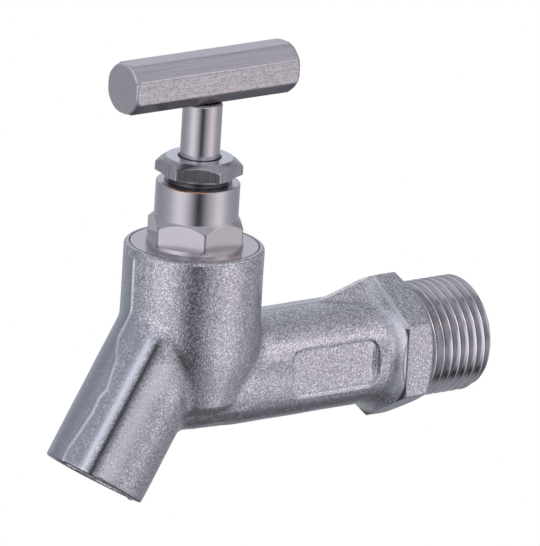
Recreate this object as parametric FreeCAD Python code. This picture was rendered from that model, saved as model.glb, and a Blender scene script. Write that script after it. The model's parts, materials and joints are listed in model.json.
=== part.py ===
import FreeCAD, Part
import math
import os

from FreeCAD import Vector

# Bib tap with a bar handle, in cast and turned stainless steel.
# Millimetres. Origin on the inlet axis, in the plane where the hexagon ends and the thread begins.
# +Y runs out of the threaded inlet, towards the wall. +Z runs up the spindle. The spout leans to -Y.
# Every piece is built about the spindle axis, with z = 0 on the inlet axis, and is moved when written.

# Inlet: thread, hexagon and pipe
THREAD_DIAMETER = 20.955
THREAD_LENGTH = 14.0
THREAD_END_CHAMFER = 0.5
INLET_BORE = 12.5
INLET_MOUTH_CHAMFER = 0.5
HEX_ACROSS_FLATS = 23.0
HEX_WIDTH = 5.7
HEX_FACE_DIAMETER = 22.7
HEX_CHAMFER_ANGLE = 30.0
PIPE_DIAMETER = 20.0
PIPE_END_DRAFT = 0.35
PIPE_DRAFT_LENGTH = 8.0
HEX_SLOPE_LENGTH = 3.1
HEX_SLOPE_RADIUS = 5.0
SPINDLE_TO_SHOULDER = 46.8
GUSSET_HALF_WIDTH = 4.0
GUSSET_LENGTH = 12.8
GUSSET_SINK = 0.05
GUSSET_PROFILE = ((0.0, 0.0), (0.27, 0.33), (0.5, 0.57), (0.68, 0.8), (0.82, 0.95), (1.0, 1.0))

# Recessed panel on the side of the pipe
PANEL_LENGTH = 19.4
PANEL_HEIGHT = 8.8
PANEL_CORNER = 2.3
PANEL_DEPTH = 1.4
PANEL_CENTRE = 26.3
PANEL_RAISE = 0.2

# Barrel, whose wall stands round the bonnet's thread
BARREL_DIAMETER = 25.2
BARREL_WALL = 2.6
BARREL_TAPER = 17.0
BARREL_BEND_RADIUS = 20.0
BARREL_BEND_HEIGHT = 8.0
BARREL_KNEE_HEIGHT = -3.3
BARREL_KNEE_RADIUS = 2.5
BARREL_FOOT_ANGLE = 39.0
BARREL_FOOT_SINK = 0.4
RIM_HEIGHT = 24.7
RIM_ROUNDING = 0.7
PIPE_BLEND = 3.0
SPOUT_BLEND = 3.8

# Spout
SPOUT_DIAMETER = 19.0
SPOUT_MOUTH_BORE = 15.0
SPOUT_MOUTH_DEPTH = 12.0
SPOUT_PASSAGE = 14.0
SPOUT_TILT = 30.9
SPOUT_CROSSING = 15.9
SPOUT_LENGTH = 37.9
SPOUT_EDGE = 0.25

# Valve seat inside the barrel
CHAMBER_STEP = 0.5
CHAMBER_FLOOR = 8.5
SEAT_BORE = 10.0
SEAT_LAND = 1.2
SEAT_WALL = 2.4
SEAT_HEIGHT = 10.0

# Bonnet
FLANGE_THICKNESS = 1.7
FLANGE_WALL = 0.9
FLANGE_GAP = 0.13
GASKET_THICKNESS = 0.8
GASKET_CLEARANCE = 0.3
PAD_DIAMETER = 17.5
PAD_HEIGHT = 0.8
BONNET_HEX_ACROSS_FLATS = 15.55
BONNET_HEX_SIDE = 3.0
BONNET_HEX_TURN = -25.2
NECK_DIAMETER = 15.1
NECK_TOP_ABOVE_RIM = 11.6
NECK_EDGE = 0.2
HEX_TOP_ANGLE = 46.0

# Packing and gland
STEM_DIAMETER = 7.15
STEM_GUIDE = 1.0
PACKING_BORE = 10.9
PACKING_RING_HEIGHT = 1.1
PACKING_RINGS = ("lower", "middle", "upper")
PACKING_WASHER_THICKNESS = 0.8
FOLLOWER_THICKNESS = 1.2
GLAND_THREAD = 12.0
GLAND_GAP = 1.15
GLAND_RELIEF = 0.6
GLAND_FACE_HEIGHT = 0.45
GLAND_FACE_DIAMETER = 13.0
GLAND_HEX_ACROSS_FLATS = 13.65
GLAND_HEX_HEIGHT = 3.0
GLAND_HEX_SIDE = 1.6
GLAND_HEX_TURN = -7.9
GLAND_TOP_ANGLE = 36.0
GLAND_COUNTERSINK = 0.35

# Spindle and handle
SPINDLE_THREAD = 10.0
SPINDLE_THREAD_LENGTH = 6.4
SPINDLE_LEAD = 1.5
TURNS_TO_OPEN = 2.0
SPINDLE_EDGE = 0.3
STEM_ABOVE_GLAND = 10.1
TENON_DIAMETER = 3.2
TEE_ACROSS_FLATS = 9.0
TEE_FLAT = 4.1
TEE_LENGTH = 36.0
TEE_CORNER_RADIUS = 0.7
TEE_END_CHAMFER = 0.25

# Valve disc
WASHER_DIAMETER = 13.6
WASHER_THICKNESS = 2.0
HOLDER_LIP = 0.5
HOLDER_LIP_DEPTH = 0.8
HOLDER_BASE = 1.3
HUB_DIAMETER = 8.8
SOCKET_DEPTH = 3.3
TIP_DIAMETER = 5.8
CLIP_HEIGHT = 0.6
CLIP_DEPTH = 0.5
CLIP_OPENING = 50.0
STUD_DIAMETER = 3.0
NUT_ACROSS_FLATS = 5.5
NUT_HEIGHT = 2.2
STUD_PROUD = 0.5

# How far a cutting or hidden shape runs past the face that it meets
OVERRUN = 1.0

# Clearances
THREAD_CLEARANCE = 0.05
RUNNING_CLEARANCE = 0.05
LOOSE_CLEARANCE = 0.1
STOP_CLEARANCE = 0.3
TENON_CLEARANCE = 0.02

# Sizes worked out from those above
LIFT = SPINDLE_LEAD * TURNS_TO_OPEN
WASHER_TOP = SEAT_HEIGHT + WASHER_THICKNESS
SOCKET_FLOOR = WASHER_TOP + HOLDER_BASE
HUB_TOP = SOCKET_FLOOR + SOCKET_DEPTH
SPINDLE_THREAD_FOOT = HUB_TOP + LOOSE_CLEARANCE
SPINDLE_THREAD_HEAD = SPINDLE_THREAD_FOOT + SPINDLE_THREAD_LENGTH
BONNET_FOOT = SOCKET_FLOOR + LIFT + 2 * STOP_CLEARANCE
GUIDE_FOOT = SPINDLE_THREAD_HEAD + LIFT + STOP_CLEARANCE
PACKING_FLOOR = GUIDE_FOOT + STEM_GUIDE
PACKING_FOOT = PACKING_FLOOR + PACKING_WASHER_THICKNESS
PACKING_HEAD = PACKING_FOOT + PACKING_RING_HEIGHT * len(PACKING_RINGS)
GLAND_FOOT = PACKING_HEAD + FOLLOWER_THICKNESS
FLANGE_FOOT = RIM_HEIGHT - FLANGE_THICKNESS
COUNTERBORE_FLOOR = FLANGE_FOOT - GASKET_THICKNESS
COUNTERBORE_RADIUS = BARREL_DIAMETER / 2 - FLANGE_WALL
BONNET_THREAD = BARREL_DIAMETER - 2 * BARREL_WALL
CHAMBER_DIAMETER = BONNET_THREAD - 2 * CHAMBER_STEP
PIPE_END_RADIUS = PIPE_DIAMETER / 2 - PIPE_END_DRAFT
BONNET_HEX_FOOT = RIM_HEIGHT + PAD_HEIGHT
NECK_TOP = RIM_HEIGHT + NECK_TOP_ABOVE_RIM
GLAND_HEX_FOOT = NECK_TOP + GLAND_GAP + GLAND_FACE_HEIGHT
GLAND_TOP = GLAND_HEX_FOOT + GLAND_HEX_HEIGHT
TEE_FOOT = GLAND_TOP + STEM_ABOVE_GLAND
STEM_HOLE_RADIUS = STEM_DIAMETER / 2 + RUNNING_CLEARANCE
CLIP_MIDDLE = SOCKET_FLOOR + SOCKET_DEPTH / 2

# An edge of a fused shape is a seam if these shares of its length lie on both parts, within this distance
SEAM_SAMPLES = (0.15, 0.5, 0.85)
TOUCHING = 0.001

UP = Vector(0, 0, 1)
OUT = Vector(0, 1, 0)
CENTRE = Vector(0, 0, 0)


def turned(points):
    """A solid of revolution about Z from a closed outline of (radius, height) points.

    An item ("arc", middle, end) runs on to its end point by an arc through its middle point.
    """
    edges = []
    first = Vector(points[0][0], 0, points[0][1])
    here = first
    for point in points[1:]:
        if point[0] == "arc":
            middle = Vector(point[1][0], 0, point[1][1])
            there = Vector(point[2][0], 0, point[2][1])
            edges.append(Part.Arc(here, middle, there).toShape())
        else:
            there = Vector(point[0], 0, point[1])
            edges.append(Part.LineSegment(here, there).toShape())
        here = there
    edges.append(Part.LineSegment(here, first).toShape())
    return Part.Face(Part.Wire(edges)).revolve(CENTRE, UP, 360)


def ring(outer_radius, inner_radius, foot, head):
    """A plain ring about Z."""
    height = head - foot
    body = Part.makeCylinder(outer_radius, height, Vector(0, 0, foot))
    return body.cut(Part.makeCylinder(inner_radius, height, Vector(0, 0, foot)))


def corner_radius(across_flats):
    return across_flats / 2 / math.cos(math.radians(30))


def hexagon_wire(across_flats, turn, height):
    """A level hexagon about Z with a corner at the angle turn."""
    radius = corner_radius(across_flats)
    angles = [math.radians(turn + 60 * i) for i in range(7)]
    return Part.makePolygon([Vector(radius * math.cos(a), radius * math.sin(a), height) for a in angles])


def hexagon_bar(across_flats, turn, foot, head):
    return Part.Face(hexagon_wire(across_flats, turn, foot)).extrude(Vector(0, 0, head - foot))


def chamfered_hexagon(across_flats, turn, foot, side, head, angle):
    """A hexagon whose corners are cut by a cone that starts at the height foot + side."""
    radius = corner_radius(across_flats)
    top_radius = radius - (head - foot - side) / math.tan(math.radians(angle))
    bar = hexagon_bar(across_flats, turn, foot, head)
    turned_shape = turned([(0, foot), (radius, foot), (radius, foot + side), (top_radius, head), (0, head)])
    return bar.common(turned_shape)


def seam_edges(joined, first, second):
    """The edges of a fused shape where the surfaces of its two parts meet."""
    edges = []
    for edge in joined.Edges:
        span = edge.LastParameter - edge.FirstParameter
        places = [edge.FirstParameter + share * span for share in SEAM_SAMPLES]
        points = [Part.Vertex(edge.valueAt(place)) for place in places]
        on_first = all(min(p.distToShape(f)[0] for f in first.Faces) < TOUCHING for p in points)
        on_second = all(min(p.distToShape(f)[0] for f in second.Faces) < TOUCHING for p in points)
        if on_first and on_second:
            edges.append(edge)
    return edges


def blended(first, second, radius):
    """Two castings run together with a fillet along their seam."""
    joined = first.fuse(second)
    return joined.makeFillet(radius, seam_edges(joined, first, second))


def barrel():
    """The upright barrel: a straight wall, a taper and a rounded knee above a coned underside.

    The underside runs into the pipe's round end, BARREL_FOOT_ANGLE below level as seen from its centre.
    """
    radius = BARREL_DIAMETER / 2
    taper = math.radians(BARREL_TAPER)
    half = taper / 2
    bend_middle = (radius - BARREL_BEND_RADIUS * (1 - math.cos(half)),
                   BARREL_BEND_HEIGHT - BARREL_BEND_RADIUS * math.sin(half))
    bend_end = (radius - BARREL_BEND_RADIUS * (1 - math.cos(taper)),
                BARREL_BEND_HEIGHT - BARREL_BEND_RADIUS * math.sin(taper))
    knee_radius = bend_end[0] - (bend_end[1] - BARREL_KNEE_HEIGHT) * math.tan(taper)
    foot_angle = math.radians(BARREL_FOOT_ANGLE)
    foot_reach = PIPE_END_RADIUS - BARREL_FOOT_SINK
    foot = (foot_reach * math.cos(foot_angle), -foot_reach * math.sin(foot_angle))
    underside = math.atan2(knee_radius - foot[0], BARREL_KNEE_HEIGHT - foot[1])
    run = BARREL_KNEE_RADIUS * math.tan((underside - taper) / 2)
    taper_foot = (knee_radius + run * math.sin(taper), BARREL_KNEE_HEIGHT + run * math.cos(taper))
    knee_centre = (taper_foot[0] - BARREL_KNEE_RADIUS * math.cos(taper),
                   taper_foot[1] + BARREL_KNEE_RADIUS * math.sin(taper))
    middle = (taper + underside) / 2
    knee_middle = (knee_centre[0] + BARREL_KNEE_RADIUS * math.cos(middle),
                   knee_centre[1] - BARREL_KNEE_RADIUS * math.sin(middle))
    knee_end = (knee_centre[0] + BARREL_KNEE_RADIUS * math.cos(underside),
                knee_centre[1] - BARREL_KNEE_RADIUS * math.sin(underside))
    rim = RIM_ROUNDING
    rim_inset = rim * (1 - math.sin(math.pi / 4))
    rim_middle = (radius - rim_inset, RIM_HEIGHT - rim_inset)
    return turned([(0, RIM_HEIGHT), (radius - rim, RIM_HEIGHT),
                   ("arc", rim_middle, (radius, RIM_HEIGHT - rim)),
                   (radius, BARREL_BEND_HEIGHT), ("arc", bend_middle, bend_end),
                   taper_foot, ("arc", knee_middle, knee_end), foot, (0, foot[1])])


def along_inlet(shape):
    """Turns a shape made about Z so that its axis is the inlet axis and its heights run to +Y."""
    shape = shape.copy()
    shape.rotate(CENTRE, Vector(1, 0, 0), -90)
    return shape


def hex_pipe_side():
    """The distance from the spindle axis at which the cast slope reaches the hexagon's corners."""
    return SPINDLE_TO_SHOULDER - HEX_WIDTH


def hex_slope_start():
    return hex_pipe_side() - HEX_SLOPE_LENGTH


def pipe():
    """The pipe, drawn in a little towards its round end, which is the bottom of the bowl."""
    radius = PIPE_DIAMETER / 2
    end = PIPE_END_RADIUS
    slant = end * math.sin(math.pi / 4)
    return along_inlet(turned([(0, -end), ("arc", (slant, -slant), (end, 0)), (radius, PIPE_DRAFT_LENGTH),
                               (radius, hex_slope_start()), (0, hex_slope_start())]))


def inlet_hexagon():
    """The hexagon: a concave cast slope on the pipe's side, a turned chamfer on the thread's side."""
    pipe_radius = PIPE_DIAMETER / 2
    corner = corner_radius(HEX_ACROSS_FLATS)
    start = hex_slope_start()
    chord = math.hypot(corner - pipe_radius, HEX_SLOPE_LENGTH)
    sag = HEX_SLOPE_RADIUS - math.sqrt(HEX_SLOPE_RADIUS ** 2 - chord ** 2 / 4)
    middle = ((pipe_radius + corner) / 2 - sag * HEX_SLOPE_LENGTH / chord,
              start + HEX_SLOPE_LENGTH / 2 + sag * (corner - pipe_radius) / chord)
    outside = corner + OVERRUN
    face = HEX_FACE_DIAMETER / 2
    chamfer = (outside - face) * math.tan(math.radians(HEX_CHAMFER_ANGLE))
    slope = turned([(0, start), (pipe_radius, start),
                    ("arc", middle, (corner, hex_pipe_side())),
                    (outside, hex_pipe_side()), (outside, SPINDLE_TO_SHOULDER - chamfer),
                    (face, SPINDLE_TO_SHOULDER), (0, SPINDLE_TO_SHOULDER)])
    bar = hexagon_bar(HEX_ACROSS_FLATS, 90, start, SPINDLE_TO_SHOULDER)
    return along_inlet(slope.common(bar))


def gusset():
    """The ridge on top of the pipe that climbs in a double curve to the hexagon's top corner."""
    foot = PIPE_DIAMETER / 2 - GUSSET_SINK
    rise = corner_radius(HEX_ACROSS_FLATS) - PIPE_DIAMETER / 2
    start = hex_pipe_side() - GUSSET_LENGTH
    points = [Vector(0, start + along * GUSSET_LENGTH, foot + up * rise) for along, up in GUSSET_PROFILE]
    top = Part.BSplineCurve()
    top.interpolate(points)
    low_end = Vector(0, points[-1].y, 0)
    low_start = Vector(0, points[0].y, 0)
    face = Part.Face(Part.Wire([top.toShape(), Part.LineSegment(points[-1], low_end).toShape(),
                                Part.LineSegment(low_end, low_start).toShape(),
                                Part.LineSegment(low_start, points[0]).toShape()]))
    halves = [face.extrude(Vector(side * GUSSET_HALF_WIDTH, 0, -GUSSET_HALF_WIDTH)) for side in (1, -1)]
    return halves[0].fuse(halves[1])


def spout_direction():
    tilt = math.radians(SPOUT_TILT)
    return Vector(0, -math.sin(tilt), -math.cos(tilt))


def spout_bar(diameter, length):
    """A bar along the spout's axis, from where that axis crosses the spindle's."""
    return Part.makeCylinder(diameter / 2, length, Vector(0, 0, SPOUT_CROSSING), spout_direction())


def spout():
    bar = spout_bar(SPOUT_DIAMETER, SPOUT_LENGTH)
    lowest = min(bar.Edges, key=lambda edge: edge.BoundBox.ZMin)
    return bar.makeChamfer(SPOUT_EDGE, [lowest])


def inlet_thread():
    """The threaded end as a plain bar of the thread's outer diameter, chamfered at its mouth."""
    radius = THREAD_DIAMETER / 2
    end = SPINDLE_TO_SHOULDER + THREAD_LENGTH
    chamfer = THREAD_END_CHAMFER
    start = SPINDLE_TO_SHOULDER - OVERRUN
    return along_inlet(turned([(0, start), (radius, start), (radius, end - chamfer),
                               (radius - chamfer, end), (0, end)]))


def panel_recess():
    """The space of the flat-floored panel, a rounded rectangle cut in from the pipe's +X side."""
    length, height, corner = PANEL_LENGTH / 2, PANEL_HEIGHT / 2, PANEL_CORNER
    floor = PIPE_DIAMETER / 2 - PANEL_DEPTH
    block = Part.makeBox(PIPE_DIAMETER, PANEL_LENGTH, PANEL_HEIGHT,
                         Vector(floor, PANEL_CENTRE - length, PANEL_RAISE - height))
    uprights = [e for e in block.Edges if abs(e.tangentAt(e.FirstParameter).x) > 0.99]
    return block.makeFillet(corner, uprights)


def inlet_waterway():
    """The inlet bore and the upright well that carries the water up to the seat."""
    end = SPINDLE_TO_SHOULDER + THREAD_LENGTH
    mouth = INLET_BORE / 2 + INLET_MOUTH_CHAMFER
    bore = along_inlet(turned([(0, 0), (INLET_BORE / 2, 0), (INLET_BORE / 2, end - INLET_MOUTH_CHAMFER),
                               (mouth, end), (0, end)]))
    well_foot = -INLET_BORE / 2
    well = Part.makeCylinder(SEAT_BORE / 2, SEAT_HEIGHT - well_foot, Vector(0, 0, well_foot))
    return bore.fuse(well)


def seat_tower():
    """The metal round the well, which the chamber and the spout's bore leave standing."""
    radius = SEAT_BORE / 2 + SEAT_WALL
    land = SEAT_BORE / 2 + SEAT_LAND
    foot = -PIPE_DIAMETER / 2
    return turned([(0, foot), (radius, foot), (radius, CHAMBER_FLOOR),
                   (land, SEAT_HEIGHT), (0, SEAT_HEIGHT)])


def outlet_waterway():
    """The chamber above the seat, the spout's passage round the seat's tower, and the bored mouth."""
    chamber_height = BONNET_FOOT - CHAMBER_FLOOR
    chamber = Part.makeCylinder(CHAMBER_DIAMETER / 2, chamber_height, Vector(0, 0, CHAMBER_FLOOR))
    passage = chamber.fuse(spout_bar(SPOUT_PASSAGE, SPOUT_LENGTH)).cut(seat_tower())
    mouth = spout_bar(SPOUT_MOUTH_BORE, SPOUT_MOUTH_DEPTH + OVERRUN)
    mouth.translate(spout_direction() * (SPOUT_LENGTH - SPOUT_MOUTH_DEPTH))
    return passage.fuse(mouth)


def bonnet_socket():
    """The threaded hole for the bonnet and the counterbore for its flange."""
    thread = Part.makeCylinder(BONNET_THREAD / 2 + THREAD_CLEARANCE, RIM_HEIGHT - BONNET_FOOT + OVERRUN,
                               Vector(0, 0, BONNET_FOOT - OVERRUN))
    counterbore = Part.makeCylinder(COUNTERBORE_RADIUS, RIM_HEIGHT - COUNTERBORE_FLOOR,
                                    Vector(0, 0, COUNTERBORE_FLOOR))
    return thread.fuse(counterbore)


def tap_body():
    casting = blended(barrel(), pipe(), PIPE_BLEND)
    casting = blended(casting, spout(), SPOUT_BLEND)
    casting = casting.fuse([inlet_hexagon(), gusset(), inlet_thread()]).removeSplitter()
    for space in (panel_recess(), inlet_waterway(), outlet_waterway(), bonnet_socket()):
        casting = casting.cut(space)
    return casting


def bonnet():
    """The screwed cover: shank, sunk flange, pad, hexagon and neck, bored for spindle and packing."""
    shank = BONNET_THREAD / 2
    flange = COUNTERBORE_RADIUS - FLANGE_GAP
    pad = PAD_DIAMETER / 2
    neck = NECK_DIAMETER / 2
    lower = turned([(0, BONNET_FOOT), (shank, BONNET_FOOT), (shank, FLANGE_FOOT), (flange, FLANGE_FOOT),
                    (flange, RIM_HEIGHT), (pad, RIM_HEIGHT), (pad, BONNET_HEX_FOOT), (0, BONNET_HEX_FOOT)])
    rise = (corner_radius(BONNET_HEX_ACROSS_FLATS) - neck) * math.tan(math.radians(HEX_TOP_ANGLE))
    hexagon = chamfered_hexagon(BONNET_HEX_ACROSS_FLATS, BONNET_HEX_TURN, BONNET_HEX_FOOT, BONNET_HEX_SIDE,
                                BONNET_HEX_FOOT + BONNET_HEX_SIDE + rise, HEX_TOP_ANGLE)
    upper = turned([(0, BONNET_HEX_FOOT), (neck, BONNET_HEX_FOOT), (neck, NECK_TOP - NECK_EDGE),
                    (neck - NECK_EDGE, NECK_TOP), (0, NECK_TOP)])
    spindle_bore = SPINDLE_THREAD / 2 + THREAD_CLEARANCE
    gland_bore = GLAND_THREAD / 2 + THREAD_CLEARANCE
    gland_floor = GLAND_FOOT - THREAD_CLEARANCE
    packing = PACKING_BORE / 2
    bores = turned([(0, BONNET_FOOT), (spindle_bore, BONNET_FOOT), (spindle_bore, GUIDE_FOOT),
                    (STEM_HOLE_RADIUS, GUIDE_FOOT), (STEM_HOLE_RADIUS, PACKING_FLOOR),
                    (packing, PACKING_FLOOR), (packing, gland_floor), (gland_bore, gland_floor),
                    (gland_bore, NECK_TOP), (0, NECK_TOP)])
    return lower.fuse([hexagon, upper]).removeSplitter().cut(bores)


def bonnet_gasket():
    return ring(COUNTERBORE_RADIUS - LOOSE_CLEARANCE, BONNET_THREAD / 2 + GASKET_CLEARANCE,
                COUNTERBORE_FLOOR, FLANGE_FOOT)


def packing_washer():
    return ring(PACKING_BORE / 2 - RUNNING_CLEARANCE, STEM_HOLE_RADIUS, PACKING_FLOOR, PACKING_FOOT)


def packing_ring(place):
    foot = PACKING_FOOT + place * PACKING_RING_HEIGHT
    return ring(PACKING_BORE / 2 - RUNNING_CLEARANCE, STEM_HOLE_RADIUS, foot, foot + PACKING_RING_HEIGHT)


def gland_follower():
    return ring(PACKING_BORE / 2 - RUNNING_CLEARANCE, STEM_HOLE_RADIUS, PACKING_HEAD, GLAND_FOOT)


def gland_nut():
    """The packing nut: a threaded shank, a waisted relief, a round face and a thin hexagon."""
    shank = GLAND_THREAD / 2
    relief = shank - GLAND_RELIEF
    face = GLAND_FACE_DIAMETER / 2
    face_foot = NECK_TOP + GLAND_GAP
    lower = turned([(0, GLAND_FOOT), (shank, GLAND_FOOT), (shank, NECK_TOP), (relief, NECK_TOP),
                    (relief, face_foot), (face, face_foot), (face, GLAND_HEX_FOOT), (0, GLAND_HEX_FOOT)])
    hexagon = chamfered_hexagon(GLAND_HEX_ACROSS_FLATS, GLAND_HEX_TURN, GLAND_HEX_FOOT, GLAND_HEX_SIDE,
                                GLAND_TOP, GLAND_TOP_ANGLE)
    hole = STEM_HOLE_RADIUS
    bore = turned([(0, GLAND_FOOT), (hole, GLAND_FOOT), (hole, GLAND_TOP - GLAND_COUNTERSINK),
                   (hole + GLAND_COUNTERSINK, GLAND_TOP), (0, GLAND_TOP)])
    return lower.fuse(hexagon).removeSplitter().cut(bore)


def clip_groove(deep_radius, shallow_radius):
    """The space of a groove for the clip, cut between two radii."""
    half = CLIP_HEIGHT / 2 + LOOSE_CLEARANCE
    return ring(deep_radius, shallow_radius, CLIP_MIDDLE - half, CLIP_MIDDLE + half)


def spindle():
    """The stem with its tenon, its drive thread and the grooved tip that carries the valve disc."""
    tip = TIP_DIAMETER / 2
    thread = SPINDLE_THREAD / 2
    stem = STEM_DIAMETER / 2
    tenon = TENON_DIAMETER / 2
    edge = SPINDLE_EDGE
    tip_foot = SOCKET_FLOOR + RUNNING_CLEARANCE
    tenon_top = TEE_FOOT + TEE_ACROSS_FLATS
    shape = turned([(0, tip_foot), (tip, tip_foot), (tip, SPINDLE_THREAD_FOOT),
                    (thread - edge, SPINDLE_THREAD_FOOT), (thread, SPINDLE_THREAD_FOOT + edge),
                    (thread, SPINDLE_THREAD_HEAD - edge), (thread - edge, SPINDLE_THREAD_HEAD),
                    (stem, SPINDLE_THREAD_HEAD), (stem, TEE_FOOT - edge), (stem - edge, TEE_FOOT),
                    (tenon, TEE_FOOT), (tenon, tenon_top), (0, tenon_top)])
    return shape.cut(clip_groove(tip, tip - CLIP_DEPTH))


def tee_handle():
    """The octagonal bar with softened corners, square to the stem, drilled through for the tenon."""
    wide = TEE_ACROSS_FLATS / 2
    flat = TEE_FLAT / 2
    middle = TEE_FOOT + wide
    corners = [(flat, wide), (wide, flat), (wide, -flat), (flat, -wide),
               (-flat, -wide), (-wide, -flat), (-wide, flat), (-flat, wide), (flat, wide)]
    start = -TEE_LENGTH / 2
    outline = Part.makePolygon([Vector(x, start, middle + z) for x, z in corners])
    bar = Part.Face(outline).extrude(Vector(0, TEE_LENGTH, 0))
    long_edges = [e for e in bar.Edges if abs(e.tangentAt(e.FirstParameter).y) > 0.99]
    bar = bar.makeFillet(TEE_CORNER_RADIUS, long_edges)
    end_edges = [e for e in bar.Edges if abs(e.tangentAt(e.FirstParameter).y) < 0.01]
    bar = bar.makeChamfer(TEE_END_CHAMFER, end_edges)
    hole = TENON_DIAMETER / 2 + TENON_CLEARANCE
    return bar.cut(Part.makeCylinder(hole, TEE_ACROSS_FLATS, Vector(0, 0, TEE_FOOT)))


def disc_holder():
    """The cup that holds the seat washer, with a socket above for the spindle and a stud below."""
    lip_inner = WASHER_DIAMETER / 2 + LOOSE_CLEARANCE
    lip = lip_inner + HOLDER_LIP
    lip_foot = WASHER_TOP - HOLDER_LIP_DEPTH
    hub = HUB_DIAMETER / 2
    socket = TIP_DIAMETER / 2 + RUNNING_CLEARANCE
    stud = STUD_DIAMETER / 2
    stud_foot = SEAT_HEIGHT - NUT_HEIGHT - STUD_PROUD
    shape = turned([(0, stud_foot), (stud, stud_foot), (stud, WASHER_TOP), (lip_inner, WASHER_TOP),
                    (lip_inner, lip_foot), (lip, lip_foot), (lip, SOCKET_FLOOR), (hub, SOCKET_FLOOR),
                    (hub, HUB_TOP), (socket, HUB_TOP), (socket, SOCKET_FLOOR), (0, SOCKET_FLOOR)])
    return shape.cut(clip_groove(socket + CLIP_DEPTH, socket))


def disc_clip():
    """The open spring ring that sits in the grooves of tip and socket."""
    outer = TIP_DIAMETER / 2 + RUNNING_CLEARANCE + CLIP_DEPTH - LOOSE_CLEARANCE
    inner = TIP_DIAMETER / 2 - CLIP_DEPTH + LOOSE_CLEARANCE
    foot = CLIP_MIDDLE - CLIP_HEIGHT / 2
    whole = ring(outer, inner, foot, foot + CLIP_HEIGHT)
    opening = Part.makeCylinder(outer, CLIP_HEIGHT, Vector(0, 0, foot), UP, CLIP_OPENING)
    return whole.cut(opening)


def seat_washer():
    return ring(WASHER_DIAMETER / 2, STUD_DIAMETER / 2 + RUNNING_CLEARANCE, SEAT_HEIGHT, WASHER_TOP)


def washer_nut():
    foot = SEAT_HEIGHT - NUT_HEIGHT
    nut = hexagon_bar(NUT_ACROSS_FLATS, 0, foot, SEAT_HEIGHT)
    return nut.cut(Part.makeCylinder(STUD_DIAMETER / 2 + THREAD_CLEARANCE, NUT_HEIGHT, Vector(0, 0, foot)))


def write(name, shape):
    """Moves a piece from the spindle axis to its place and writes it."""
    shape = shape.copy()
    shape.translate(Vector(0, -SPINDLE_TO_SHOULDER, 0))
    shape.exportStep("parts/" + name + ".step")
    print(name, len(shape.Solids), shape.isValid(), round(shape.Volume, 1))


os.makedirs("parts", exist_ok=True)

write("tap_body", tap_body())
write("bonnet", bonnet())
write("bonnet_gasket", bonnet_gasket())
write("packing_washer", packing_washer())
for place, ring_name in enumerate(PACKING_RINGS):
    write("packing_ring_" + ring_name, packing_ring(place))
write("gland_follower", gland_follower())
write("gland_nut", gland_nut())
write("spindle", spindle())
write("tee_handle", tee_handle())
write("disc_holder", disc_holder())
write("disc_clip", disc_clip())
write("seat_washer", seat_washer())
write("washer_nut", washer_nut())
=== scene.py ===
import json
import math
from contextlib import contextmanager

import bmesh
import bpy
import numpy as np
from mathutils import Matrix, Vector, noise


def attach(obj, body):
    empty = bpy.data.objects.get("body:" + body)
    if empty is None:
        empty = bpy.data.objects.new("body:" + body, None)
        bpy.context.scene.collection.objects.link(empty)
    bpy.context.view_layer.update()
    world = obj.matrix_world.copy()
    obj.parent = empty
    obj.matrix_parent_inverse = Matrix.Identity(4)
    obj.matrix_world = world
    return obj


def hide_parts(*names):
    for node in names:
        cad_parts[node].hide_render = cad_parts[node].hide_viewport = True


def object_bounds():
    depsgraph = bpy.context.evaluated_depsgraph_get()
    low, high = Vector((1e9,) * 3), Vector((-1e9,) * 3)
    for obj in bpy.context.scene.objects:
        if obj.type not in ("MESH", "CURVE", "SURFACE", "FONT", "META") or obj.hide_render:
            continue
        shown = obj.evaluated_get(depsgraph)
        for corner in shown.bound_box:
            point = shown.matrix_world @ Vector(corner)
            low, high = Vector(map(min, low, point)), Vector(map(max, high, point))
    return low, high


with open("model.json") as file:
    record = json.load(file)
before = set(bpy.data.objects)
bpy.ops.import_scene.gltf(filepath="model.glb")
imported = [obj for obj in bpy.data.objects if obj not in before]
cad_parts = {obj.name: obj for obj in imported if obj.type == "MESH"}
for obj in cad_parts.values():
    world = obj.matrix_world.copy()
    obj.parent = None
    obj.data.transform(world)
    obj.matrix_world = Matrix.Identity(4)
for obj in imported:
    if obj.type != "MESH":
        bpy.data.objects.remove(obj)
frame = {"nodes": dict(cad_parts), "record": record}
cad_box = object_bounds()

# Looks of a cast stainless bib tap with a bar handle. Metres, in the CAD frame: origin on the inlet axis
# where the thread begins, +Y towards the wall, +Z up. The spindle stands at y = SPINDLE_Y. The near side is +X.
# Tables by height have heights and places in millimetres. A share is how much painted highlight or painted shade
# a mark takes.
MM = 0.001
SPINDLE_Y = -46.8 * MM

# Inlet thread: THREAD_TURN is where its crest stands at the top of the pipe, in pitches. Its rows of points fall on
# the edges of its crest and root, which are each one step of a row wide.
THREAD_RADIUS = 10.4775 * MM
THREAD_LENGTH = 14.0 * MM
THREAD_PITCH = 1.8143 * MM
THREAD_DEPTH = 1.162 * MM
THREAD_CHAMFER = 0.5 * MM
THREAD_TURN = -0.53
THREAD_SIDES = 160
THREAD_STEPS = 14
CREST_PART = 1 / THREAD_STEPS
ROOT_PART = 1 / THREAD_STEPS
BORE_RADIUS = 6.25 * MM
BORE_CHAMFER = 0.5 * MM

# Casting: the grid it is remeshed on, where it is cut from the thread and the machined rim, and its unevenness
VOXEL = 0.22 * MM
SOFTEN_ROUNDS = 5
THREAD_CUT = 0.15 * MM
RIM_CUT = 23.2 * MM
WAVE_HEIGHT = 0.07 * MM
WAVE_SIZE = 7.0 * MM

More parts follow.
